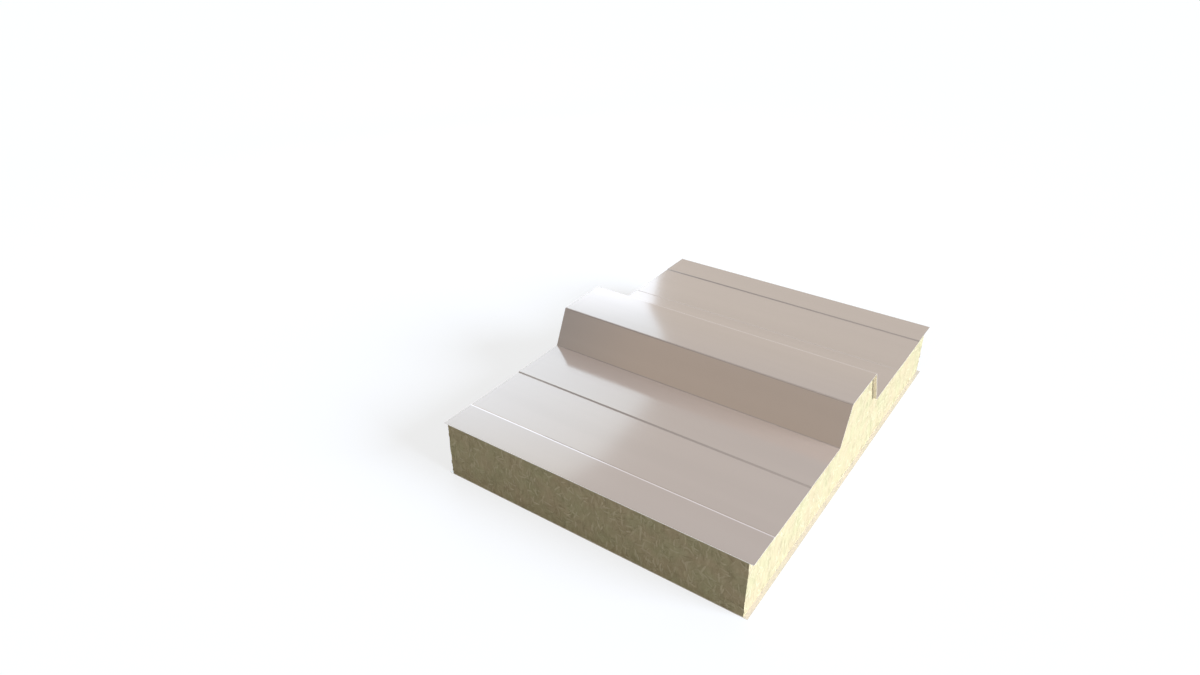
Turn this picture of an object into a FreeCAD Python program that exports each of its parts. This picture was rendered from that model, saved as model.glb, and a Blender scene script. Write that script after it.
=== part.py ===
import FreeCAD, Part
import Sketcher
import enum
import os

# Insulated roof panel, a sample cut from a long panel: a roll-formed steel weather
# sheet with one trapezoidal rib, a mineral wool core that fills the rib as well, and
# a flat steel liner sheet. The sheets reach past the wool at both cut ends.
#
# Millimetres. The origin is the centre of the underside. X runs along the rib, Y
# across the panel and Z up.

SIZES = [
    ("cut_length", 325.0),  # sheets, along the rib
    ("panel_width", 450.0),  # sheets and wool, across the rib
    ("panel_depth", 60.0),  # outer face to outer face, at the flats
    ("outer_gauge", 0.6),  # steel of the weather sheet
    ("inner_gauge", 0.5),  # steel of the liner sheet
    ("core_setback", 3.6),  # wool behind the sheets, at each cut end
    ("rib_rise", 39.2),  # crown above the flats
    ("crown_width", 63.0),  # flat top of the rib, between its bends
    ("flank_run", 17.25),  # each sloping side of the rib, measured level
    ("rib_bend", 1.2),  # inside radius of the four rib bends
    ("swage_margin", 37.5),  # long edge to the nearest swage
    ("swage_width", 74.0),  # swage over both of its steps
    ("swage_depth", 0.6),  # swage floor below the flats
    ("swage_run", 1.8),  # each step of a swage, measured level
    ("swage_bend", 1.0),  # inside radius of the eight swage bends
]

NEAR = 0.001  # a point this close to a corner is that corner


class At(enum.IntEnum):
    """Sketcher counts a line's own points from one: its start, then its end."""

    START = enum.auto()
    END = enum.auto()


# Sketcher counts the sketch's own axes downwards: the level one, which starts at the
# origin, and then the upright one.
ORIGIN = (-1, At.START)
UPRIGHT_AXIS = ORIGIN[0] - 1

doc = FreeCAD.newDocument("roof_panel")

# --- Driving dimensions ---------------------------------------------------------

sheet = doc.addObject("Spreadsheet::Sheet", "Sizes")
for row, (alias, number) in enumerate(SIZES, start=1):
    cell = "A%d" % row
    sheet.set(cell, str(number))
    sheet.setAlias(cell, alias)
doc.recompute()


def size(alias):
    """One driving dimension, read from the sheet."""
    return float(sheet.get(alias))


# --- Sketch helpers -------------------------------------------------------------


def sketch_on(body, role, name):
    """A sketch on one of the body's own origin planes."""
    plane = [item for item in body.Origin.OriginFeatures if item.Role == role][0]
    sketch = body.newObject("Sketcher::SketchObject", name)
    sketch.AttachmentSupport = [(plane, "")]
    sketch.MapMode = "FlatFace"
    return sketch


def dimension(sketch, kind, start, end, alias):
    """A distance between two points of a sketch, bound to the sheet."""
    constraint = Sketcher.Constraint(kind, *start, *end, size(alias))
    index = sketch.addConstraint(constraint)
    sketch.setExpression("Constraints[%d]" % index, "Sizes." + alias)


def relate(sketch, kind, *where):
    """A constraint that has no size."""
    sketch.addConstraint(Sketcher.Constraint(kind, *where))


def draw_path(sketch, points, construction=False):
    """Straight lines from point to point, joined end to end."""
    lines = []
    for start, end in zip(points, points[1:]):
        lines.append(sketch.addGeometry(Part.LineSegment(start, end), construction))
    for before, after in zip(lines, lines[1:]):
        relate(sketch, "Coincident", before, At.END, after, At.START)
    return lines


# --- The weather sheet's profile ------------------------------------------------


def top_corners():
    """Corners of the weather sheet's upper face, from the left edge to the right."""
    flat = size("panel_depth")
    crown = flat + size("rib_rise")
    floor = flat - size("swage_depth")
    crown_edge = size("crown_width") / 2
    rib_foot = crown_edge + size("flank_run")
    panel_edge = size("panel_width") / 2
    outer_step = panel_edge - size("swage_margin")
    inner_step = outer_step - size("swage_width")
    right = [
        FreeCAD.Vector(crown_edge, crown),
        FreeCAD.Vector(rib_foot, flat),
        FreeCAD.Vector(inner_step, flat),
        FreeCAD.Vector(inner_step + size("swage_run"), floor),
        FreeCAD.Vector(outer_step - size("swage_run"), floor),
        FreeCAD.Vector(outer_step, flat),
        FreeCAD.Vector(panel_edge, flat),
    ]
    left = [FreeCAD.Vector(-corner.x, corner.y) for corner in reversed(right)]
    return left + right


def up_normal(start, end):
    """The unit normal, on the upper side, of a line drawn from left to right."""
    along = (end - start).normalize()
    return FreeCAD.Vector(-along.y, along.x)


def underside_corners(corners):
    """Corners one gauge below: each bend's lies on the line that halves its angle."""
    gauge = size("outer_gauge")
    normals = [up_normal(start, end) for start, end in zip(corners, corners[1:])]
    before = normals[:1] + normals
    after = normals + normals[-1:]
    below = []
    for corner, normal, other in zip(corners, before, after):
        below.append(corner - (normal + other) * (gauge / (1 + normal.dot(other))))
    return below


def draw_top_face(sketch, corners, construction=False):
    """The upper face, fully dimensioned on the right and mirrored to the left."""
    lines = draw_path(sketch, corners, construction)
    middle = len(lines) // 2
    crown = lines[middle]
    flank, flat, step_down, floor, step_up, margin = lines[middle + 1 :]
    dimension(sketch, "DistanceX", (crown, At.START), (crown, At.END), "crown_width")
    dimension(sketch, "DistanceX", (flank, At.START), (flank, At.END), "flank_run")
    dimension(sketch, "DistanceY", (flank, At.END), (flank, At.START), "rib_rise")
    dimension(sketch, "DistanceX", (step_down, At.START), (step_down, At.END), "swage_run")
    dimension(sketch, "DistanceY", (step_down, At.END), (step_down, At.START), "swage_depth")
    dimension(sketch, "DistanceX", (step_up, At.START), (step_up, At.END), "swage_run")
    dimension(sketch, "DistanceY", (step_up, At.START), (step_up, At.END), "swage_depth")
    dimension(sketch, "DistanceX", (step_down, At.START), (step_up, At.END), "swage_width")
    dimension(sketch, "DistanceX", (margin, At.START), (margin, At.END), "swage_margin")
    dimension(sketch, "DistanceX", (lines[0], At.START), (margin, At.END), "panel_width")
    dimension(sketch, "DistanceY", ORIGIN, (margin, At.END), "panel_depth")
    for level in (flat, floor, margin):
        relate(sketch, "Horizontal", level)
    for left, right in zip(lines, reversed(lines[middle:])):
        relate(sketch, "Symmetric", left, At.START, right, At.END, UPRIGHT_AXIS)
    return lines


def draw_underside(sketch, corners, top_lines):
    """The lower face: every corner is one gauge from the upper faces beside it."""
    lines = draw_path(sketch, corners)
    for line, top_line in zip(lines, top_lines):
        dimension(sketch, "Distance", (line, At.START), (top_line,), "outer_gauge")
        dimension(sketch, "Distance", (line, At.END), (top_line,), "outer_gauge")
    return lines


def bend_corners(top, underside):
    """Corners inside and outside the bends, under the alias of the bend's radius."""
    inside = {"rib_bend": [], "swage_bend": []}
    outside = {"rib_bend": [], "swage_bend": []}
    rib_foot = size("crown_width") / 2 + size("flank_run")
    for index in range(1, len(top) - 1):
        arriving = top[index] - top[index - 1]
        leaving = top[index + 1] - top[index]
        turns_up = arriving.cross(leaving).z > 0
        on_rib = abs(top[index].x) < rib_foot + NEAR
        alias = "rib_bend" if on_rib else "swage_bend"
        upper_side, lower_side = (inside, outside) if turns_up else (outside, inside)
        upper_side[alias].append(top[index])
        lower_side[alias].append(underside[index])
    return inside, outside


def round_edges(body, corners, radius, name):
    """Round the body's edges along X at the given corners, those that it has."""
    base = body.Tip
    edges = []
    for number, edge in enumerate(base.Shape.Edges, start=1):
        middle = edge.CenterOfMass
        place = FreeCAD.Vector(middle.y, middle.z)
        along_rib = edge.Length > edge.BoundBox.YLength + edge.BoundBox.ZLength
        if along_rib and any(place.isEqual(corner, NEAR) for corner in corners):
            edges.append("Edge%d" % number)
    fillet = body.newObject("PartDesign::Fillet", name)
    fillet.Base = (base, edges)
    fillet.setExpression("Radius", radius)
    doc.recompute()


def pad_along_rib(body, sketch, length):
    """Extrude a section by the same amount to both sides of the middle plane."""
    pad = body.newObject("PartDesign::Pad", body.Name + "_pad")
    pad.Profile = sketch
    pad.SideType = "Symmetric"
    pad.setExpression("Length", length)
    doc.recompute()


TOP = top_corners()
UNDERSIDE = underside_corners(TOP)
INSIDE, OUTSIDE = bend_corners(TOP, UNDERSIDE)

# --- outer_sheet: one strip of steel, roll formed -------------------------------

outer_sheet = doc.addObject("PartDesign::Body", "outer_sheet")
strip = sketch_on(outer_sheet, "YZ_Plane", "strip_section")
upper = draw_top_face(strip, TOP)
lower = draw_underside(strip, UNDERSIDE, upper)
left_end = draw_path(strip, [TOP[0], UNDERSIDE[0]])[0]
right_end = draw_path(strip, [TOP[-1], UNDERSIDE[-1]])[0]
relate(strip, "Coincident", left_end, At.START, upper[0], At.START)
relate(strip, "Coincident", left_end, At.END, lower[0], At.START)
relate(strip, "Coincident", right_end, At.START, upper[-1], At.END)
relate(strip, "Coincident", right_end, At.END, lower[-1], At.END)
relate(strip, "Vertical", left_end)
relate(strip, "Vertical", right_end)
pad_along_rib(outer_sheet, strip, "Sizes.cut_length")

for alias in INSIDE:
    inside_radius = "Sizes." + alias
    outside_radius = inside_radius + " + Sizes.outer_gauge"
    round_edges(outer_sheet, INSIDE[alias], inside_radius, alias + "_inside")
    round_edges(outer_sheet, OUTSIDE[alias], outside_radius, alias + "_outside")

# --- mineral_wool_core: fills the space between the sheets, face to face --------

core = doc.addObject("PartDesign::Body", "mineral_wool_core")
fill = sketch_on(core, "YZ_Plane", "fill_section")
guide = draw_top_face(fill, TOP, construction=True)
roof = draw_underside(fill, UNDERSIDE, guide)
bed_level = size("inner_gauge")
bed_corners = [FreeCAD.Vector(end.x, bed_level) for end in (UNDERSIDE[-1], UNDERSIDE[0])]
right_side, bed, left_side = draw_path(fill, [UNDERSIDE[-1], *bed_corners, UNDERSIDE[0]])
relate(fill, "Coincident", roof[-1], At.END, right_side, At.START)
relate(fill, "Coincident", left_side, At.END, roof[0], At.START)
relate(fill, "Vertical", right_side)
relate(fill, "Vertical", left_side)
relate(fill, "Horizontal", bed)
relate(fill, "Vertical", guide[0], At.START, roof[0], At.START)
relate(fill, "Vertical", guide[-1], At.END, roof[-1], At.END)
dimension(fill, "DistanceY", ORIGIN, (bed, At.START), "inner_gauge")
pad_along_rib(core, fill, "Sizes.cut_length - 2 * Sizes.core_setback")

for alias in INSIDE:
    ridge_radius = "Sizes." + alias
    valley_radius = ridge_radius + " + Sizes.outer_gauge"
    round_edges(core, INSIDE[alias], ridge_radius, alias + "_ridges")
    round_edges(core, OUTSIDE[alias], valley_radius, alias + "_valleys")

# --- inner_sheet: a flat strip of steel, the panel's underside ------------------

inner_sheet = doc.addObject("PartDesign::Body", "inner_sheet")
flat_section = sketch_on(inner_sheet, "YZ_Plane", "flat_section")
half_width = size("panel_width") / 2
gauge = size("inner_gauge")
rectangle = [
    FreeCAD.Vector(-half_width, 0),
    FreeCAD.Vector(half_width, 0),
    FreeCAD.Vector(half_width, gauge),
    FreeCAD.Vector(-half_width, gauge),
    FreeCAD.Vector(-half_width, 0),
]
underside, right_edge, bonded_face, left_edge = draw_path(flat_section, rectangle)
relate(flat_section, "Coincident", left_edge, At.END, underside, At.START)
relate(flat_section, "Vertical", right_edge)
relate(flat_section, "Vertical", left_edge)
relate(flat_section, "Horizontal", underside)
relate(flat_section, "Horizontal", bonded_face)
relate(flat_section, "Symmetric", underside, At.START, underside, At.END, *ORIGIN)
dimension(flat_section, "DistanceX", (underside, At.START), (underside, At.END), "panel_width")
dimension(flat_section, "DistanceY", (right_edge, At.START), (right_edge, At.END), "inner_gauge")
pad_along_rib(inner_sheet, flat_section, "Sizes.cut_length")

# --- Checks and files -----------------------------------------------------------

doc.recompute()
for item in doc.Objects:
    if "Invalid" in item.State or "Error" in item.State:
        raise RuntimeError("%s did not compute" % item.Label)

SUB_PARTS = [outer_sheet, core, inner_sheet]
for body in SUB_PARTS:
    body.Label = body.Name
    if body.Shape.isNull() or not body.Shape.isValid():
        raise RuntimeError("%s has no valid shape" % body.Label)

os.makedirs("parts", exist_ok=True)
for body in SUB_PARTS:
    body.Shape.exportStep("parts/%s.step" % body.Label)
    print(body.Label, len(body.Shape.Solids), "solid", round(body.Shape.Volume), "mm3")
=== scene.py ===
# %% [markdown]
# # An insulated roof panel in Blender
#
# The object is a sample cut from a long roof panel. It has three pieces: a steel
# weather sheet with one rib, a slab of mineral wool that fills the panel and the rib,
# and a flat steel liner underneath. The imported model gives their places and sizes.
# This lesson gives each piece its surface and finish.

# %% Load the frame
import math
from types import SimpleNamespace

import bpy
import numpy as np
from mathutils import Matrix, Vector


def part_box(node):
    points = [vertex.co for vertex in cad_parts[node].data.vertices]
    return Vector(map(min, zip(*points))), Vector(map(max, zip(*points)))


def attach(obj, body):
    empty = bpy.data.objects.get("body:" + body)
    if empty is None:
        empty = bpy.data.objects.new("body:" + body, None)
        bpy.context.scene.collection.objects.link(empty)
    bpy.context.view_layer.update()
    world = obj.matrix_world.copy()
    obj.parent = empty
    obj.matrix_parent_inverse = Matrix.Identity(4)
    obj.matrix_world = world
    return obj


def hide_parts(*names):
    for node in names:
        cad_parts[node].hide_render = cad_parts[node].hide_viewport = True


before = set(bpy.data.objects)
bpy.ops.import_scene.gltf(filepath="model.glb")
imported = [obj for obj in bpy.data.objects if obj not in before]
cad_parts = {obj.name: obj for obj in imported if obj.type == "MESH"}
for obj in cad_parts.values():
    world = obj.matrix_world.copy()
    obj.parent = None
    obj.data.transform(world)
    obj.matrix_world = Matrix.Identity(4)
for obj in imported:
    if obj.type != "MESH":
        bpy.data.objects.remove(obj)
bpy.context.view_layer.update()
MM = 0.001

# %% [markdown]
# ## Sizes
#
# The three boxes give the panel's length, width, depth and steel gauges. What a box
# can't say is how the weather sheet is bent inside it, so those few tooling sizes are
# named here once, in metres, and every later cell works from them.

# %% Sizes from the frame, and the tooling sizes of the profile
sheet_low, sheet_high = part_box("outer_sheet")
wool_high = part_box("mineral_wool_core")[1]
liner_low, liner_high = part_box("inner_sheet")

HALF_LENGTH = sheet_high.x
HALF_WIDTH = sheet_high.y
CROWN_LEVEL = sheet_high.z
GAUGE = sheet_high.z - wool_high.z
BED_LEVEL = liner_high.z
WOOL_HALF_LENGTH = wool_high.x

CROWN_WIDTH = 63 * MM
FLANK_RUN = 17.25 * MM
SWAGE_MARGIN = 37.5 * MM
SWAGE_WIDTH = 74 * MM
SWAGE_DEPTH = 0.6 * MM
SWAGE_RUN = 1.8 * MM
RIB_BEND = 1.2 * MM
SWAGE_BEND = 1.0 * MM
FLAT_LEVEL = sheet_low.z + GAUGE + SWAGE_DEPTH
print("length, width, depth:", 2 * HALF_LENGTH, 2 * HALF_WIDTH, FLAT_LEVEL)

# %% [markdown]
# ## The camera
#
# The camera comes first, so that every later cell can be judged in its view. It looks
# down on the panel from the front and the right, about a metre away, with a short
# lens, so the near corner is drawn large. A rotation built from yaw, pitch and roll is
# easier to read than a quaternion.

# %% Camera
CAMERA_PLACE = Vector((0.3384, -0.6787, 0.5367))
CAMERA_YAW = math.radians(-35.106)
CAMERA_PITCH = math.radians(-30.175)
CAMERA_ROLL = math.radians(-0.232)
CAMERA_LENS = 25.446
NEAREST_SEEN = 0.01


def camera_axes(yaw, pitch, roll):
    """Columns right, up and backwards: the view direction is turned by yaw from +Y
    towards +X and tipped by pitch, and roll then turns right and up about it."""
    ahead = Vector((math.sin(yaw) * math.cos(pitch), math.cos(yaw) * math.cos(pitch), math.sin(pitch)))
    level = Vector((math.cos(yaw), -math.sin(yaw), 0))
    above = level.cross(ahead)
    right = level * math.cos(roll) + above * math.sin(roll)
    up = above * math.cos(roll) - level * math.sin(roll)
    return Matrix((right, up, -ahead)).transposed()


camera = bpy.data.objects.new("camera", bpy.data.cameras.new("camera"))
camera.data.lens = CAMERA_LENS
camera.data.clip_start = NEAREST_SEEN
camera.matrix_world = (
    Matrix.Translation(CAMERA_PLACE) @ camera_axes(CAMERA_YAW, CAMERA_PITCH, CAMERA_ROLL).to_4x4()
)
bpy.context.scene.collection.objects.link(camera)
bpy.context.scene.camera = camera
print("camera looks along", [round(c, 3) for c in -camera.matrix_world.col[2].xyz])

# %% [markdown]
# ## Helpers for meshes
#
# Every new piece is worked out as whole arrays: a grid of points, and the faces that
# join neighbours. One helper turns a grid into quads and one turns arrays into an
# object that rides with the panel. Numbers that a material needs at each point, such
# as the painted shade of the bends, are kept in the mesh under a name.

# %% Mesh helpers


def grid_faces(rows, columns, closed=False):
    """Quads of a grid whose point (row, column) has number row * columns + column. A
    closed grid joins its last column to its first."""
    row, column = np.meshgrid(
        np.arange(rows - 1), np.arange(columns if closed else columns - 1), indexing="ij"
    )
    across = (column + 1) % columns
    corner = row * columns
    quads = np.stack([corner + column, corner + across, corner + columns + across,
                      corner + columns + column], axis=-1)
    return quads.reshape(-1, 4)


def make_piece(name, points, faces, smooth_angle=None):
    """A mesh object from arrays, with its object at the origin."""
    mesh = bpy.data.meshes.new(name)
    mesh.from_pydata(points.tolist(), [], [list(face) for face in faces])
    if smooth_angle is not None:
        mesh.shade_smooth()
        mesh.set_sharp_from_angle(angle=smooth_angle)
    mesh.validate()
    piece = bpy.data.objects.new(name, mesh)
    bpy.context.scene.collection.objects.link(piece)
    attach(piece, "root")
    print(name, len(mesh.vertices), "points,", len(mesh.polygons), "faces")
    return piece


def keep_at_points(piece, name, values):
    """Keeps one number for each point of a piece, for its material to read."""
    attribute = piece.data.attributes.new(name, "FLOAT", "POINT")
    attribute.data.foreach_set("value", values.astype(np.float32))


print("3 by 4 points:", len(grid_faces(3, 4)), "faces, or", len(grid_faces(3, 4, True)), "if closed")

# %% [markdown]
# ## The weather sheet's line
#
# The real sheet is one strip that rollers bend step by step, so both of its faces
# follow the same line, a gauge apart, and every bend is a round one. The line is built
# from its corners. Each corner gives way to an arc that touches both runs, and the
# lower face is the upper one moved along its normal, which keeps the arcs concentric.
#
# Each arc also gets painted shade: its coating's colour is darkened along the bend. A
# few edges get a painted highlight instead and have none.

# %% Corners of the upper face


def profile_corners():
    """Corners (y, z) of the upper face from left to right, and each bend's inside
    radius. The right half is mirrored to make the left."""
    crown_edge = CROWN_WIDTH / 2
    outer_step = HALF_WIDTH - SWAGE_MARGIN
    inner_step = outer_step - SWAGE_WIDTH
    floor = FLAT_LEVEL - SWAGE_DEPTH
    right = np.array([
        (crown_edge, CROWN_LEVEL),
        (crown_edge + FLANK_RUN, FLAT_LEVEL),
        (inner_step, FLAT_LEVEL),
        (inner_step + SWAGE_RUN, floor),
        (outer_step - SWAGE_RUN, floor),
        (outer_step, FLAT_LEVEL),
        (HALF_WIDTH, FLAT_LEVEL),
    ])
    radii = np.array([RIB_BEND] * 2 + [SWAGE_BEND] * 4)
    corners = np.vstack([right[::-1] * (-1, 1), right])
    return corners, np.concatenate([radii[::-1], radii])


corners, radii = profile_corners()
print("upper face:", len(corners), "corners,", len(radii), "bends")

# %% One round bend
ARC_POINTS = 9


def arc(before, corner, after, inside_radius):
    """Points and upward normals on the arc that touches both runs at a corner. The
    arc's centre is on the line that halves the angle, and its radius has the gauge
    added where the upper face is outside the bend."""
    arriving = (corner - before) / np.linalg.norm(corner - before)
    leaving = (after - corner) / np.linalg.norm(after - corner)
    cross = arriving[0] * leaving[1] - arriving[1] * leaving[0]
    turn = math.atan2(cross, float(arriving @ leaving))
    radius = inside_radius + (GAUGE if turn < 0 else 0)
    side = math.copysign(1, turn)
    start = corner - arriving * radius * math.tan(abs(turn) / 2)
    centre = start + side * radius * np.array([-arriving[1], arriving[0]])
    first = math.atan2(*(start - centre)[::-1])
    angles = first + np.linspace(0, turn, ARC_POINTS)
    spokes = np.column_stack([np.cos(angles), np.sin(angles)])
    return centre + radius * spokes, -side * spokes


foot_bend = arc(*corners[4:7], radii[4])[0]
print("the rib's left foot bends from", foot_bend[0].round(4), "to", foot_bend[-1].round(4))

# %% Painted shade and the whole line
# Bends with a painted highlight get no painted shade, and the right swage's bends get less of it.
HIGHLIGHT_BENDS = (1, 2, 7)
RIB_BENDS = range(5, 9)
RIGHT_SWAGE_BENDS = range(9, 13)
RIGHT_SWAGE_SHADE = 0.75


def bend_painted_shade(number):
    """The painted shade along one bend, counted from the left edge. It fades out at both
    sides of a rib bend and on the flat side of a swage's bend. A bend with a painted
    highlight, such as those of the left outer step and the crown's right edge, has none."""
    painted_shade = np.ones(ARC_POINTS)
    if number in HIGHLIGHT_BENDS:
        painted_shade[:] = 0
    elif number in RIB_BENDS:
        painted_shade[[0, -1]] = 0
    else:
        painted_shade[0 if number % 2 else -1] = 0
    if number in RIGHT_SWAGE_BENDS:
        painted_shade *= RIGHT_SWAGE_SHADE
    return painted_shade


def bent_line():
    """The upper face's points, normals and painted shade, straight from arc to arc."""
    flat_normal = np.array([[0.0, 1.0]])
    points, normals, painted_shade = [corners[:1]], [flat_normal], [[0.0]]
    for number, radius in enumerate(radii, start=1):
        bend = arc(corners[number - 1], corners[number], corners[number + 1], radius)
        points.append(bend[0])
        normals.append(bend[1])
        painted_shade.append(bend_painted_shade(number))
    points.append(corners[-1:])
    normals.append(flat_normal)
    painted_shade.append([0.0])
    return np.vstack(points), np.vstack(normals), np.concatenate(painted_shade)


top_line, top_normals, top_painted_shade = bent_line()
under_line = top_line - GAUGE * top_normals
print("weather sheet line:", len(top_line), "points, lowest", under_line[:, 1].min())

# %% [markdown]
# ## The two sheets
#
# A strip's outline, upper face out and lower face back, is carried along the rib. A
# cut with shears leaves a fine burr and no sharp corner, so the cut edges get a small
# bevel, which also catches the light as the thin bright line along each edge. Each
# sheet has three finishes: the coated face, the bare cut edges and the back.

# %% A strip of sheet
FACE, CUT, BACK = range(3)
SPANS = 13
SMOOTH_ANGLE = math.radians(35)
BURR_WIDTH = 0.08 * MM
BURR_SEGMENTS = 2
BURR_ANGLE = math.radians(60)


def cut_strip(name, upper_face, lower_face, painted_shade, upper_finish, lower_finish):
    """A strip of sheet, cut to length: the closed outline of its section at even
    stations along the rib. The finishes are material numbers."""
    outline = np.vstack([upper_face, lower_face[::-1]])
    stations = np.linspace(-HALF_LENGTH, HALF_LENGTH, SPANS + 1)
    points = np.stack([
        np.repeat(stations, len(outline)),
        np.tile(outline[:, 0], len(stations)),
        np.tile(outline[:, 1], len(stations)),
    ], axis=-1)
    around = grid_faces(len(stations), len(outline), closed=True)[:, ::-1]
    upper = np.arange(len(upper_face) - 1)
    lower = len(outline) - 1 - upper
    near_end = np.stack([upper, upper + 1, lower - 1, lower], axis=-1)
    far_end = near_end[:, ::-1] + SPANS * len(outline)
    piece = make_piece(name, points, np.vstack([around, near_end, far_end]), SMOOTH_ANGLE)
    side_finish = np.full(len(outline), CUT)
    side_finish[:len(upper_face) - 1] = upper_finish
    side_finish[len(upper_face):-1] = lower_finish
    finish = np.concatenate([np.tile(side_finish, SPANS), np.full(2 * len(near_end), CUT)])
    piece.data.polygons.foreach_set("material_index", finish.astype(np.int32))
    # The painted shade of the bends, and none on the lower face, kept at the points for the material.
    section_painted_shade = np.concatenate([painted_shade, np.zeros(len(lower_face))])
    keep_at_points(piece, "painted_shade", np.tile(section_painted_shade, len(stations)))
    bevel = piece.modifiers.new("burr", "BEVEL")
    bevel.width = BURR_WIDTH
    bevel.segments = BURR_SEGMENTS
    bevel.limit_method = "ANGLE"
    bevel.angle_limit = BURR_ANGLE
    return piece


print("finishes of a strip: face", FACE, "cut edge", CUT, "back", BACK)

# %% Weather sheet and liner sheet
LINER_POINTS = 19

weather_sheet = cut_strip("weather_sheet", top_line, under_line, top_painted_shade, FACE, BACK)
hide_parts("outer_sheet")

across_liner = np.linspace(-HALF_WIDTH, HALF_WIDTH, LINER_POINTS)
liner_top = np.column_stack([across_liner, np.full(LINER_POINTS, BED_LEVEL)])
liner_under = np.column_stack([across_liner, np.full(LINER_POINTS, liner_low.z)])
# The liner gets no painted shade.
no_painted_shade = np.zeros(LINER_POINTS)
liner_sheet = cut_strip("liner_sheet", liner_top, liner_under, no_painted_shade, BACK, FACE)
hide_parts("inner_sheet")

# %% [markdown]
# ## The wool's cut faces
#
# Mineral wool is sawn, so each cut face is a rough felt of short tufts, with shallow
# hollows where the saw pulled some out. The relief comes from smooth random lattices
# of several cell sizes, added together. The cut ends were sawn with a finer blade than
# the long sides, so their relief is less than half as deep.

# %% Random relief
LONG_CUT = 1.0
END_CUT = 0.4
LEAN = 4 * MM
HOLLOWS = 0.12
TUFTS = 0.22
GRAIN = 0.04
CUT_INSET = 0.50
LATTICE = 512


def lattice_noise(across, up, cell_across, cell_up, seed):
    """Random numbers on a lattice, from -1 to 1, blended smoothly in between. The
    lattice repeats after 512 cells each way."""
    table = np.random.default_rng(seed).uniform(-1, 1, (LATTICE, LATTICE))
    x, y = across / cell_across, up / cell_up
    column, row = np.floor(x).astype(int), np.floor(y).astype(int)
    fx, fy = x - column, y - row
    fx, fy = fx * fx * (3 - 2 * fx), fy * fy * (3 - 2 * fy)

    def corner(dx, dy):
        """The number at the corner that lies dx and dy cells further on."""
        return table[(row + dy) % LATTICE, (column + dx) % LATTICE]

    low = corner(0, 0) * (1 - fx) + corner(1, 0) * fx
    high = corner(0, 1) * (1 - fx) + corner(1, 1) * fx
    return low * (1 - fy) + high * fy


def wool_depth(round_block, up, coarse):
    """How far a cut face lies inside its plane, in metres. It is the sum of broad
    hollows, of tufts that stand upright and lean with a slow random shear, and of a
    fine grain, all multiplied by how coarse the cut is and shifted so that nothing
    stands proud."""
    lean = lattice_noise(round_block, up, 9 * MM, 9 * MM, 11) * LEAN
    hollows = lattice_noise(round_block, up, 13 * MM, 11 * MM, 12)
    tufts = lattice_noise(round_block + lean, up, 3.0 * MM, 6.5 * MM, 13)
    grain = lattice_noise(round_block, up, 1.6 * MM, 2.2 * MM, 14)
    relief = HOLLOWS * hollows + TUFTS * tufts + GRAIN * grain
    return (CUT_INSET - coarse * relief) * MM


sample = wool_depth(np.linspace(0, 0.1, 500), np.full(500, 0.03), LONG_CUT)
print("a long cut lies", sample.min().round(5), "to", sample.max().round(5), "m inside its plane")

# %% [markdown]
# ## The wool block
#
# The real slab is glued between the sheets and sawn to length with them. All four of
# its cut faces are made as one band that goes round the block: one parameter runs
# round it, the other from the liner up to the weather sheet. The band's upper edge
# follows the sheet's lower face, so the wool fills the rib too. Two lids of level
# strips close it. They are never seen, because the sheets cover them.

# %% Points round the block
GRID_STEP = 1.06 * MM
ON_PLANE = 1e-9
line_length = np.concatenate([[0], np.cumsum(np.linalg.norm(np.diff(under_line, axis=0), axis=1))])
even_steps = np.linspace(0, line_length[-1], round(line_length[-1] / GRID_STEP) + 1)
end_y = np.interp(even_steps, line_length, under_line[:, 0])
end_top = np.interp(even_steps, line_length, under_line[:, 1])
side_count = round(2 * WOOL_HALF_LENGTH / GRID_STEP)
side_x = np.linspace(-WOOL_HALF_LENGTH, WOOL_HALF_LENGTH, side_count + 1)[1:-1]
edge_top = under_line[0, 1]
ends, sides = len(end_y), len(side_x)

band_x = np.concatenate([np.full(ends, WOOL_HALF_LENGTH), side_x[::-1],
                         np.full(ends, -WOOL_HALF_LENGTH), side_x])
band_y = np.concatenate([end_y, np.full(sides, HALF_WIDTH),
                         end_y[::-1], np.full(sides, -HALF_WIDTH)])
band_top = np.concatenate([end_top, np.full(sides, edge_top),
                           end_top[::-1], np.full(sides, edge_top)])
inward_x = -np.sign(band_x) * (np.abs(band_x) > WOOL_HALF_LENGTH - ON_PLANE)
inward_y = -np.sign(band_y) * (np.abs(band_y) > HALF_WIDTH - ON_PLANE)
step = np.hypot(np.diff(band_x, append=band_x[0]), np.diff(band_y, append=band_y[0]))
band_round = np.concatenate([[0], np.cumsum(step)[:-1]])
print("round the block:", len(band_x), "points,", round(band_round[-1], 4), "m")

# %% Wool block
wool_rows = round((edge_top - BED_LEVEL) / GRID_STEP)
rise = np.linspace(0, 1, wool_rows + 1)[:, None]
band_z = BED_LEVEL + rise * (band_top - BED_LEVEL)
band_coarse = np.where(inward_x != 0, END_CUT, LONG_CUT)
depth = wool_depth(np.broadcast_to(band_round, band_z.shape), band_z, band_coarse)
wool_points = np.stack([
    band_x + inward_x * depth,
    band_y + inward_y * depth,
    band_z,
], axis=-1).reshape(-1, 3)
columns = len(band_x)
wool_faces = grid_faces(wool_rows + 1, columns, closed=True).tolist()


def lid(first):
    """Level strips across the block, joining the two ends. The first and the last
    strip also take in the points along a long side."""
    front = first + np.arange(ends)
    back = first + 2 * ends + sides - 1 - np.arange(ends)
    middle = np.stack([front[1:-2], back[1:-2], back[2:-1], front[2:-1]], axis=-1)
    right_side = first + ends + np.arange(sides)
    left_side = first + 2 * ends + sides + np.arange(sides)
    right = [front[-2], back[-2], back[-1], *right_side[::-1], front[-1]]
    left = [back[0], back[1], front[1], front[0], *left_side[::-1]]
    return middle.tolist() + [right, left]


wool_faces += [face[::-1] for face in lid(wool_rows * columns)] + lid(0)
wool_block = make_piece("wool_block", wool_points, wool_faces)
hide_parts("mineral_wool_core")

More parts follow.
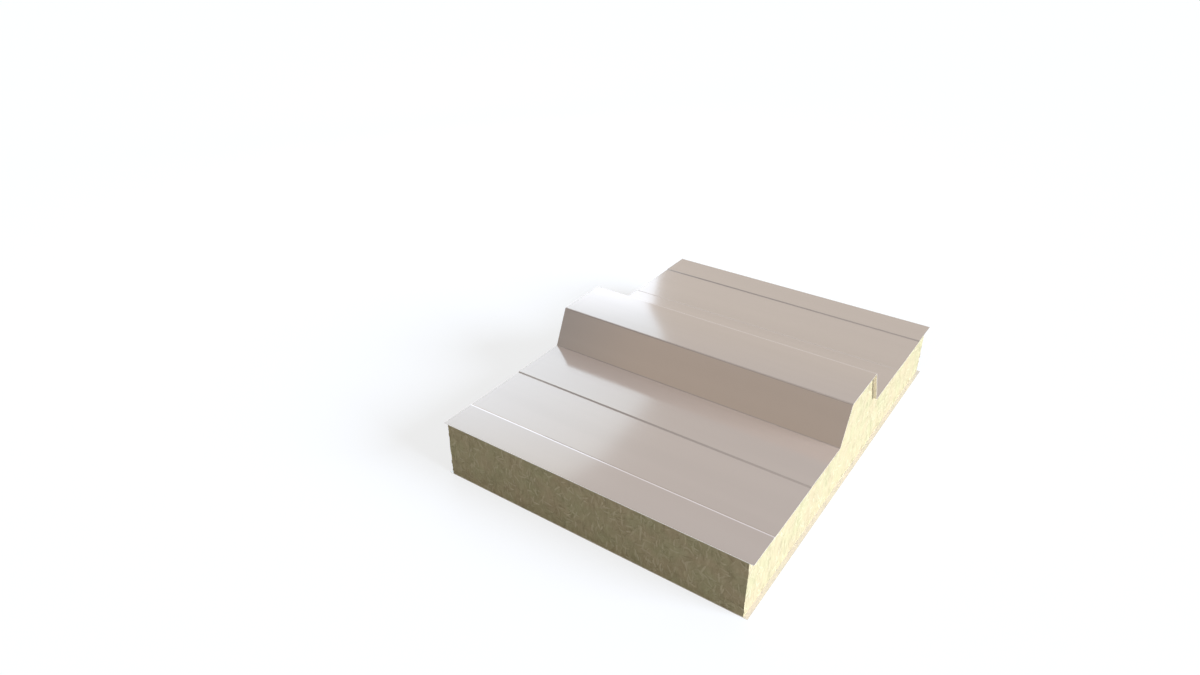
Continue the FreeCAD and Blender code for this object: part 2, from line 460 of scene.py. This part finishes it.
# %% [markdown]
# ## Strands on the cut faces
#
# Close to, the sawn wool shows single short strands that lie on the face, most of them
# upright or level. Each strand is a flattened three-sided tube with fine tips: its
# line is a shallow parabola on the face that also arches a little off it. A thousand
# of them are one mesh for each cut face. Drawing every random number for a face at
# once keeps the strands the same on every run. The light strands are the thick ones.

# %% Random draws for one face
STRAND_COUNT = 1000
STRAND_HALVES = (2.5, 6.5)
UPRIGHT_SHARE = 0.45
LEVEL_SHARE = 0.25
HEADING_SPREAD = 0.3
CURL = 0.15
LIFTS = (0.08, 0.25)


def draw_strands(seed, length, coarse):
    """One face's random draws, a row for each strand: its middle and height on the
    face, half its length, its heading from upright, its bend, its tone from dark to
    light, and how far it arches off the cut."""
    rng = np.random.default_rng(seed)
    middle = rng.uniform(0, length, STRAND_COUNT)[:, None]
    height = rng.uniform(0, 1, STRAND_COUNT)[:, None]
    half = rng.uniform(*STRAND_HALVES, STRAND_COUNT)[:, None] * MM
    kind = rng.random(STRAND_COUNT)
    upright = rng.normal(0, HEADING_SPREAD, STRAND_COUNT)
    level = math.pi / 2 + rng.normal(0, HEADING_SPREAD, STRAND_COUNT)
    any_way = rng.uniform(-math.pi / 2, math.pi / 2, STRAND_COUNT)
    heading = np.select([kind < UPRIGHT_SHARE, kind < UPRIGHT_SHARE + LEVEL_SHARE],
                        [upright, level], any_way)[:, None]
    bend = rng.normal(0, CURL, STRAND_COUNT)[:, None] * half
    tone = rng.uniform(0, 1, STRAND_COUNT)
    lift = rng.uniform(*LIFTS, STRAND_COUNT)[:, None] * coarse * MM
    return SimpleNamespace(middle=middle, height=height, half=half, heading=heading,
                           bend=bend, tone=tone, lift=lift)


print("strands are", 2 * STRAND_HALVES[0], "to", 2 * STRAND_HALVES[1], "mm long")

# %% Lines of the strands
STRAND_POINTS = 6
THINNEST = 0.55
THICKER_BY = 0.50
TIP = 1.02
FLATNESS = 0.26
UP_WAY = np.array([0, 0, 1])


def strand_lines(face, drawn):
    """Each strand's line and its radius along it. At parameter t, from -1 to 1, the
    line is at its middle plus t times half its length along its heading, plus t
    squared times its bend across it. It arches off the cut by its lift times one minus
    t squared, and stays inside the face's outline."""
    t = np.linspace(-1, 1, STRAND_POINTS)[None, :]
    radius = (THINNEST + THICKER_BY * drawn.tone)[:, None] * MM * np.sqrt(TIP - t * t)
    sine, cosine = np.sin(drawn.heading), np.cos(drawn.heading)
    run = drawn.middle + sine * t * drawn.half + cosine * t * t * drawn.bend
    run = np.clip(run, radius, face.length - radius)
    top = np.minimum(face.top_of(run - radius), face.top_of(run + radius)) - radius
    up = BED_LEVEL + drawn.height * (face.top_of(drawn.middle) - BED_LEVEL)
    up = up + cosine * t * drawn.half - sine * t * t * drawn.bend
    up = np.clip(up, BED_LEVEL + radius, top)
    off = wool_depth(face.start + run, up, face.coarse) - drawn.lift * (1 - t * t)
    off = np.maximum(off, FLATNESS * face.coarse * radius)
    line = face.corner + run[..., None] * face.along + up[..., None] * UP_WAY
    return line + off[..., None] * face.inward, radius


print("strands have a radius of", THINNEST, "to", THINNEST + THICKER_BY, "mm")

# %% Tubes round the lines
STRAND_SIDES = 3


def strand_tubes(face, line, radius):
    """Points of a ring round each point of the lines: three spokes as long as the
    radius, made shorter by the flatness where they stand off the face."""
    tangent = np.gradient(line, axis=1)
    tangent /= np.linalg.norm(tangent, axis=-1, keepdims=True)
    across = np.cross(tangent, face.inward)
    across /= np.linalg.norm(across, axis=-1, keepdims=True)
    out = np.cross(across, tangent)
    angle = math.pi / 2 + 2 * math.pi * np.arange(STRAND_SIDES) / STRAND_SIDES
    wide = np.cos(angle)[:, None]
    high = FLATNESS * face.coarse * np.sin(angle)[:, None]
    ring = wide * across[:, :, None] + high * out[:, :, None]
    return (line[:, :, None] + radius[..., None, None] * ring).reshape(-1, 3)


def strand_faces():
    """Quads round every tube, and a triangle on each of its two tips."""
    per_strand = STRAND_POINTS * STRAND_SIDES
    first = (np.arange(STRAND_COUNT) * per_strand)[:, None, None]
    quads = (first + grid_faces(STRAND_POINTS, STRAND_SIDES, closed=True)).reshape(-1, 4)
    tip = np.arange(STRAND_SIDES)[None]
    start_tips = first[:, 0] + tip[:, ::-1]
    end_tips = first[:, 0] + per_strand - STRAND_SIDES + tip
    return quads.tolist() + start_tips.tolist() + end_tips.tolist()


def strands(face):
    """All the strands of one cut face, as one mesh."""
    drawn = draw_strands(face.seed, face.length, face.coarse)
    line, radius = strand_lines(face, drawn)
    piece = make_piece(face.name, strand_tubes(face, line, radius), strand_faces())
    keep_at_points(piece, "tone", np.repeat(drawn.tone, STRAND_POINTS * STRAND_SIDES))
    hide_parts("mineral_wool_core")
    return piece


print("each strand has", STRAND_POINTS * STRAND_SIDES, "points")

# %% [markdown]
# ## Four faces, one recipe
#
# A cut face is told by its corner, the way along it, the way into the wool and the
# line of its upper edge, so one recipe serves all four. Each face starts at its own
# place round the block, which lays the strands on the relief that is already there,
# and has its own seed, so no two faces get the same strands.

# %% Strands on all four faces


def flat_top(run):
    """The wool's upper edge along a long side."""
    return np.full_like(run, edge_top)


def roof_at(y):
    """The wool's upper edge on a cut end, which follows the weather sheet."""
    return np.interp(y, under_line[:, 0], under_line[:, 1])


def right_end_top(run):
    """The upper edge of the right end, counted from its left corner."""
    return roof_at(run - HALF_WIDTH)


def left_end_top(run):
    """The upper edge of the left end, counted the other way."""
    return roof_at(HALF_WIDTH - run)


wool_length, wool_width = 2 * WOOL_HALF_LENGTH, 2 * HALF_WIDTH
x_way, y_way = np.array([1.0, 0, 0]), np.array([0, 1.0, 0])
right_near = WOOL_HALF_LENGTH * x_way - HALF_WIDTH * y_way
right_far = WOOL_HALF_LENGTH * x_way + HALF_WIDTH * y_way
cut_faces = [
    SimpleNamespace(name="strands_right_end", corner=right_near, along=y_way, inward=-x_way,
                    length=wool_width, top_of=right_end_top, start=0.0, coarse=END_CUT, seed=21),
    SimpleNamespace(name="strands_left_end", corner=-right_near, along=-y_way, inward=x_way,
                    length=wool_width, top_of=left_end_top, start=wool_width + wool_length,
                    coarse=END_CUT, seed=22),
    SimpleNamespace(name="strands_far_side", corner=right_far, along=-x_way, inward=-y_way,
                    length=wool_length, top_of=flat_top, start=wool_width, coarse=LONG_CUT, seed=23),
    SimpleNamespace(name="strands_near_side", corner=-right_far, along=x_way, inward=y_way,
                    length=wool_length, top_of=flat_top, start=2 * wool_width + wool_length,
                    coarse=LONG_CUT, seed=24),
]
strand_pieces = [strands(face) for face in cut_faces]

# %% [markdown]
# ## Helpers for node trees
#
# Each finish is a small node tree on Blender's Principled shader. The steps that the
# finishes share, such as a noise, a colour ramp or a mix, are helpers, so that each
# finish reads as a short recipe. All patterns are laid out in object coordinates. They
# keep their real size, and stay in place when the camera or the panel moves.

# %% Node helpers


def new_material(name):
    """An empty node material with a Principled shader. Returns material, tree, shader."""
    material = bpy.data.materials.new(name)
    material.use_nodes = True
    tree = material.node_tree
    shader = tree.nodes["Principled BSDF"]
    return material, tree, shader


def add(tree, kind, inputs=None, **settings):
    """A node with its settings, its input values and its links."""
    node = tree.nodes.new(kind)
    for key, value in settings.items():
        setattr(node, key, value)
    for key, value in (inputs or {}).items():
        if isinstance(value, bpy.types.NodeSocket):
            tree.links.new(value, node.inputs[key])
        else:
            node.inputs[key].default_value = value
    return node


def stretched(tree, scale=(1, 1, 1)):
    """Object coordinates, stretched by a different factor along each axis."""
    place = add(tree, "ShaderNodeTexCoord").outputs["Object"]
    return add(tree, "ShaderNodeMapping", {"Vector": place, "Scale": scale}).outputs["Vector"]


def along_axis(tree, axis, vector):
    """One coordinate of a vector, named by its axis."""
    return add(tree, "ShaderNodeSeparateXYZ", {"Vector": vector}).outputs[axis]


def noise(tree, scale, detail, roughness, distortion=0.0, stretch=(1, 1, 1)):
    """A noise texture's value, on stretched object coordinates."""
    inputs = {"Vector": stretched(tree, stretch), "Scale": scale, "Detail": detail,
              "Roughness": roughness, "Distortion": distortion}
    return add(tree, "ShaderNodeTexNoise", inputs).outputs["Fac"]


def kept_at_points(tree, name):
    """A number that a mesh keeps at its points."""
    return add(tree, "ShaderNodeAttribute", attribute_name=name).outputs["Fac"]


print("finishes so far:", len(bpy.data.materials))

# %% Helpers for colour and relief


def ramp(tree, factor, stops):
    """A colour ramp through (place, colour) stops."""
    node = add(tree, "ShaderNodeValToRGB", {"Fac": factor})
    elements = node.color_ramp.elements
    while len(elements) < len(stops):
        elements.new(0.5)
    for element, (place, colour) in zip(elements, stops):
        element.position = place
        element.color = (*colour, 1)
    return node.outputs["Color"]


def remap(tree, value, low, high, from_low=0.3, from_high=0.7):
    """A value's range moved to another range. Most noise lies between 0.3 and 0.7."""
    inputs = {"Value": value, "From Min": from_low, "From Max": from_high,
              "To Min": low, "To Max": high}
    return add(tree, "ShaderNodeMapRange", inputs).outputs["Result"]


def calculate(tree, operation, *values):
    """The result of a math node."""
    return add(tree, "ShaderNodeMath", dict(enumerate(values)), operation=operation).outputs[0]


def mix_colours(tree, factor, first, second):
    """Two colours, the second where the factor is one."""
    inputs = {"Factor": factor, 6: first, 7: second}
    return add(tree, "ShaderNodeMix", inputs, data_type="RGBA").outputs[2]


def roughen(tree, shader, height, strength, distance):
    """Tilts a shader's normals as a height pattern says."""
    bump = add(tree, "ShaderNodeBump", {"Height": height, "Strength": strength, "Distance": distance})
    tree.links.new(bump.outputs["Normal"], shader.inputs["Normal"])


def opaque(colour):
    """A colour with full alpha, as a colour socket wants it."""
    return (*colour, 1)


print("white for a colour socket:", opaque((1, 1, 1)))

# %% [markdown]
# ## Steel
#
# Both sheets are coil-coated: a thin, even, silver-beige coating that reflects softly.
# A shader that is half metal and half paint gives that look, with a low roughness that
# is a little cloudy. The coating's colour is darkened on the bends as painted shade,
# as much as the sheet's painted shade says, and made pale along two narrow lines as
# painted highlights. A strip has two more finishes: bare steel on its cut edges, and a
# thin primer on its back.

# %% Painted highlight lines
# Painted highlights: two pale lines, along the left outer step and the crown's right edge.
HIGHLIGHT_TINT = (0.84, 0.74, 0.69)
HIGHLIGHT_FADE = 0.4 * MM
HIGHLIGHT_LINES = (
    (-(HALF_WIDTH - SWAGE_MARGIN) - 0.45 * MM, 0.4 * MM, 1.0),
    (CROWN_WIDTH / 2 - 0.75 * MM, 0.4 * MM, 0.5),
)


def paint_highlight_lines(tree, colour):
    """The colour with its painted highlight lines. Each line has a centre across the panel,
    half a width, and a strength that fades out beside it."""
    across = along_axis(tree, "Y", stretched(tree))
    for centre, half_width, strength in HIGHLIGHT_LINES:
        away = calculate(tree, "ABSOLUTE", calculate(tree, "SUBTRACT", across, centre))
        line = remap(tree, away, strength, 0.0, half_width, half_width + HIGHLIGHT_FADE)
        colour = mix_colours(tree, line, colour, opaque(HIGHLIGHT_TINT))
    return colour


print("rubbed lines at y =", [round(centre, 4) for centre, _, _ in HIGHLIGHT_LINES])

# %% Satin steel
ROLLED_SCALE = 45
ROLLED_STRETCH = (0.05, 1, 1)
TINT_SPREAD = 0.015
# How dark the painted shade on the bends makes the coating's tint.
PAINTED_SHADE_LEVEL = 0.74
CLOUD_SCALE = 11
CLOUD_BELOW, CLOUD_ABOVE = 0.015, 0.02
PEEL_SCALE = 700
PEEL_STRENGTH = 0.012
PEEL_DEPTH = 0.2 * MM


def steel(name, tint, roughness, metallic, painted_highlight=False):
    """Satin steel. A tint that varies a little along the rolling direction and is
    darkened by painted shade on the bends, painted highlight lines where asked, a
    cloudy roughness and a fine orange peel."""
    material, tree, shader = new_material(name)
    shader.inputs["Metallic"].default_value = metallic
    rolled = noise(tree, ROLLED_SCALE, 2, 0.5, stretch=ROLLED_STRETCH)
    dark = tuple(c * (1 - TINT_SPREAD) for c in tint)
    light = tuple(c * (1 + TINT_SPREAD) for c in tint)
    shaded_tint = tuple(c * PAINTED_SHADE_LEVEL for c in tint)
    colour = ramp(tree, rolled, [(0.35, dark), (0.65, light)])
    # Painted shade: the tint is darkened on the bends, as much as the kept painted shade says.
    colour = mix_colours(tree, kept_at_points(tree, "painted_shade"), colour, opaque(shaded_tint))
    # Painted highlights: pale lines laid over the coating's colour.
    if painted_highlight:
        colour = paint_highlight_lines(tree, colour)
    tree.links.new(colour, shader.inputs["Base Color"])
    clouds = noise(tree, CLOUD_SCALE, 3, 0.5)
    cloudy = remap(tree, clouds, roughness - CLOUD_BELOW, roughness + CLOUD_ABOVE)
    tree.links.new(cloudy, shader.inputs["Roughness"])
    roughen(tree, shader, noise(tree, PEEL_SCALE, 2, 0.5), PEEL_STRENGTH, PEEL_DEPTH)
    return material


print("bends are dulled to", PAINTED_SHADE_LEVEL, "of the coating's tint")

# %% Finishes of the sheets
FACE_TINT = (0.565, 0.471, 0.402)
EDGE_TINT = (0.80, 0.77, 0.72)
BACK_TINT = (0.80, 0.73, 0.66)
COAT_ROUGHNESS, COAT_METAL = 0.12, 0.5
EDGE_ROUGHNESS, EDGE_METAL = 0.30, 0.8
BACK_ROUGHNESS, BACK_METAL = 0.20, 0.6

# The weather sheet's coating gets the painted highlight lines.
weather_steel = steel("weather_steel", FACE_TINT, COAT_ROUGHNESS, COAT_METAL, painted_highlight=True)
liner_steel = steel("liner_steel", FACE_TINT, COAT_ROUGHNESS, COAT_METAL)
edge_steel = steel("cut_edge_steel", EDGE_TINT, EDGE_ROUGHNESS, EDGE_METAL)
back_coat = steel("back_coat", BACK_TINT, BACK_ROUGHNESS, BACK_METAL)
for sheet, face in ((weather_sheet, weather_steel), (liner_sheet, liner_steel)):
    for finish in (face, edge_steel, back_coat):
        sheet.data.materials.append(finish)
    print(sheet.name, "has", [material.name for material in sheet.data.materials])

# %% [markdown]
# ## Mineral wool
#
# Stone wool with its binder is olive brown, quite matt, and patchy: some patches lean
# to green and some to brown. The block's colour follows a noise of the size of its
# tufts. A strand's colour follows its own tone instead, so neighbours differ as real
# strands do, and only the thick ones are pale. Both share the same slow patches, which
# ties the strands to the block under them.

# %% Wool
WOOL_DARK = (0.405, 0.337, 0.195)
WOOL_MID = (0.445, 0.372, 0.22)
WOOL_LIGHT = (0.49, 0.415, 0.252)
WOOL_GREEN = (0.412, 0.386, 0.211)
WOOL_BROWN = (0.478, 0.364, 0.226)
STRAND_DARK = (0.35, 0.29, 0.168)
STRAND_LIGHT = (0.575, 0.493, 0.315)
PATCH_STOPS = [(0.36, WOOL_BROWN), (0.64, WOOL_GREEN)]
TUFT_STOPS = [(0.30, WOOL_DARK), (0.5, WOOL_MID), (0.70, WOOL_LIGHT)]
TONE_STOPS = [(0.05, STRAND_DARK), (0.28, WOOL_MID), (0.50, WOOL_MID), (0.97, STRAND_LIGHT)]
WOOL_ROUGHNESS = 0.95
WOOL_SPECULAR = 0.2
PATCH_SCALE = 45
BLOCK_PATCHES, STRAND_PATCHES = 0.4, 0.3
TUFT_SCALE = 190
TUFT_STRETCH = (1, 1, 0.5)
GRAIN_SCALE = 700
GRAIN_STRENGTH = 0.25
GRAIN_DEPTH = 0.3 * MM


def wool(name, is_strand):
    """Sawn mineral wool, for the strands or for the block."""
    material, tree, shader = new_material(name)
    shader.inputs["Roughness"].default_value = WOOL_ROUGHNESS
    shader.inputs["Specular IOR Level"].default_value = WOOL_SPECULAR
    patches = ramp(tree, noise(tree, PATCH_SCALE, 2, 0.5), PATCH_STOPS)
    if is_strand:
        colour = ramp(tree, kept_at_points(tree, "tone"), TONE_STOPS)
    else:
        tufts = noise(tree, TUFT_SCALE, 2, 0.45, 0.8, stretch=TUFT_STRETCH)
        colour = ramp(tree, tufts, TUFT_STOPS)
        roughen(tree, shader, noise(tree, GRAIN_SCALE, 2, 0.5), GRAIN_STRENGTH, GRAIN_DEPTH)
    share = STRAND_PATCHES if is_strand else BLOCK_PATCHES
    tree.links.new(mix_colours(tree, share, colour, patches), shader.inputs["Base Color"])
    return material


wool_material = wool("sawn_wool", False)
strand_material = wool("wool_strands", True)
wool_block.data.materials.append(wool_material)
for piece in strand_pieces:
    piece.data.materials.append(strand_material)
print("wool finishes:", wool_material.name, "and", strand_material.name)

# %% [markdown]
# ## The floor
#
# The panel lies on a plain studio floor, which should look nearly white and still show
# a soft shadow. So the eye and the reflections see a mix of a white glow and a pale
# diffuse paper. The light that the floor bounces back comes from a duller grey, since
# a white floor would light the wool too strongly from below.

# %% Helpers for staged surfaces
PAPER_LEVEL = 0.85
BOUNCE_LEVEL = 0.36


def plain_sheet(name, points):
    """One flat face that is staged: it is in the scene and not part of the panel."""
    mesh = bpy.data.meshes.new(name)
    mesh.from_pydata(points.tolist(), [], [list(range(len(points)))])
    sheet = bpy.data.objects.new(name, mesh)
    bpy.context.scene.collection.objects.link(sheet)
    return sheet


def plain_material(name):
    """A material with no shader yet. Returns the material, its tree and the socket
    for its surface."""
    material, tree, shader = new_material(name)
    tree.nodes.remove(shader)
    return material, tree, tree.nodes["Material Output"].inputs["Surface"]


def grey(level):
    """A colour with the same red, green and blue."""
    return (level, level, level)


def mix_shaders(tree, factor, first, second):
    """Two shaders, the second where the factor is one."""
    return add(tree, "ShaderNodeMixShader", {0: factor, 1: first, 2: second}).outputs[0]


def any_of(tree, first, second):
    """One where either of two light path outputs is one."""
    return calculate(tree, "MAXIMUM", first, second)


def diffuse(tree, level):
    """A matt grey surface."""
    return add(tree, "ShaderNodeBsdfDiffuse", {"Color": opaque(grey(level))}).outputs[0]


def glow(tree, colour, strength):
    """A surface that gives off light of its own."""
    return add(tree, "ShaderNodeEmission", {"Color": colour, "Strength": strength}).outputs[0]


print("paper", grey(PAPER_LEVEL), "and bounced light", grey(BOUNCE_LEVEL))

# %% Floor
FLOOR_HALF = 8.0
PAPER_SHARE = 0.28

floor = plain_sheet("floor", np.array([(-1, -1, 0), (1, -1, 0), (1, 1, 0), (-1, 1, 0)]) * FLOOR_HALF)
floor_material, tree, surface = plain_material("pale_floor")
path = add(tree, "ShaderNodeLightPath").outputs
seen = any_of(tree, path["Is Glossy Ray"], path["Is Transmission Ray"])
seen = any_of(tree, path["Is Camera Ray"], seen)
pale = mix_shaders(tree, PAPER_SHARE, glow(tree, opaque(grey(1.0)), 1.0), diffuse(tree, PAPER_LEVEL))
tree.links.new(mix_shaders(tree, seen, diffuse(tree, BOUNCE_LEVEL), pale), surface)
floor.data.materials.append(floor_material)
print("floor is", 2 * FLOOR_HALF, "m square at height 0")

# %% [markdown]
# ## The room
#
# Coated steel looks like whatever is around it, so the reflections need a room. Three
# colour ramps over height stand for the wall behind the panel, the wall in front of it
# and that wall's left part, all under a bright ceiling, which keeps the flats from
# turning dark where they mirror the rib. Only reflections see this room. The eye sees
# plain white, and everything else gets a soft, slightly warm light.

# %% World
AMBIENT = 0.455
AMBIENT_TINT = (1.0, 0.97, 0.925)
REAR_WALL = [(0.0, grey(0.95)), (0.3, (0.74, 0.71, 0.64)), (0.46, (0.68, 0.65, 0.57)),
             (0.68, (0.58, 0.58, 0.59)), (0.82, grey(0.20)), (1.0, grey(1.2))]
FRONT_WALL = [(0.0, (0.70, 0.65, 0.59)), (0.25, (0.68, 0.63, 0.57)), (0.6, grey(0.55)),
              (0.85, grey(0.55)), (1.0, grey(2.0))]
FRONT_LEFT_WALL = [(0.0, (0.37, 0.405, 0.44)), (0.25, (0.37, 0.40, 0.43)), (0.6, grey(0.50)),
                   (0.85, grey(0.55)), (1.0, grey(2.0))]
LEFT_BORDER = (-0.54, -0.46)
REAR_BORDER = (-0.1, 0.2)


def background(tree, colour, strength=1.0):
    """A background of one colour or one colour pattern."""
    return add(tree, "ShaderNodeBackground", {"Color": colour, "Strength": strength}).outputs[0]


world = bpy.data.worlds.new("studio")
bpy.context.scene.world = world
world.use_nodes = True
tree = world.node_tree
tree.nodes.clear()
path = add(tree, "ShaderNodeLightPath").outputs
way = add(tree, "ShaderNodeTexCoord").outputs["Generated"]
parts = add(tree, "ShaderNodeSeparateXYZ", {"Vector": way}).outputs
rear = ramp(tree, parts["Z"], REAR_WALL)
front = ramp(tree, parts["Z"], FRONT_WALL)
front_left = ramp(tree, parts["Z"], FRONT_LEFT_WALL)
rightward = remap(tree, parts["X"], 0.0, 1.0, *LEFT_BORDER)
front = mix_colours(tree, rightward, front_left, front)
behind = remap(tree, parts["Y"], 0.0, 1.0, *REAR_BORDER)
room = background(tree, mix_colours(tree, behind, front, rear))
soft = background(tree, opaque(AMBIENT_TINT), AMBIENT)
white = background(tree, opaque(grey(1.0)))
seen = any_of(tree, path["Is Camera Ray"], path["Is Transmission Ray"])
sky = mix_shaders(tree, seen, mix_shaders(tree, path["Is Glossy Ray"], soft, room), white)
add(tree, "ShaderNodeOutputWorld", {"Surface": sky})
print("world has", len(tree.nodes), "nodes")

# %% [markdown]
# ## The key light
#
# One large, soft, slightly cool sun from the right lights the cut end, where the wool
# and the thickness of the panel show best. It is hidden from reflections, because the
# coating would mirror the lamp as a bright patch of its own.

# %% Key light
KEY_ENERGY = 6.7
KEY_SPREAD = math.radians(35)
KEY_COLOUR = (0.92, 1.05, 1.26)
KEY_PLACE = Vector((3.0, 0.4, 1.12))

key = bpy.data.objects.new("key", bpy.data.lights.new("key", "SUN"))
key.data.angle = KEY_SPREAD
key.data.energy = KEY_ENERGY
key.data.color = KEY_COLOUR
key.visible_glossy = False
key.location = KEY_PLACE
key.rotation_euler = (-KEY_PLACE).to_track_quat("-Z", "Y").to_euler()
bpy.context.scene.collection.objects.link(key)
print("key light stands", round(math.degrees(math.asin(KEY_PLACE.z / KEY_PLACE.length))), "degrees up")

# %% [markdown]
# ## The light card
#
# A lit card stands behind and to the left of the panel, as studio lighting often has
# one, and the coating mirrors it as a bright patch on the flats and the crown. Its
# outline gives the patch its slanting edges, and it fades upwards, so the patch fades
# towards the right. The camera doesn't see it and it casts no shadow.

# %% Light card
CARD_CORNERS = np.array([(-0.624, 0.950, 0.382), (-0.577, 0.850, 0.583), (-0.545, 0.810, 0.687),
                         (-0.530, 0.763, 0.768), (-0.796, 0.125, 1.072), (-1.066, 0.311, 0.386)])
CARD_STRENGTH = 3.0
CARD_HEIGHTS = (0.40, 1.0)
CARD_FADE = [(0.22, (0.68, 0.82, 0.98)), (0.43, (0.457, 0.57, 0.68)), (0.75, (0.35, 0.40, 0.43))]

card = plain_sheet("light_card", CARD_CORNERS)
card.visible_camera = False
card.visible_shadow = False
card_material, tree, surface = plain_material("lit_card")
height = along_axis(tree, "Z", stretched(tree))
fade = ramp(tree, remap(tree, height, 0.0, 1.0, *CARD_HEIGHTS), CARD_FADE)
tree.links.new(glow(tree, fade, CARD_STRENGTH), surface)
card.data.materials.append(card_material)
print("light card has", len(CARD_CORNERS), "corners and", len(CARD_FADE), "colours")

# %% [markdown]
# ## The view
#
# The Standard view shows colours as they are, so the pale floor stays pale.

# %% View
bpy.context.scene.view_settings.view_transform = "Standard"
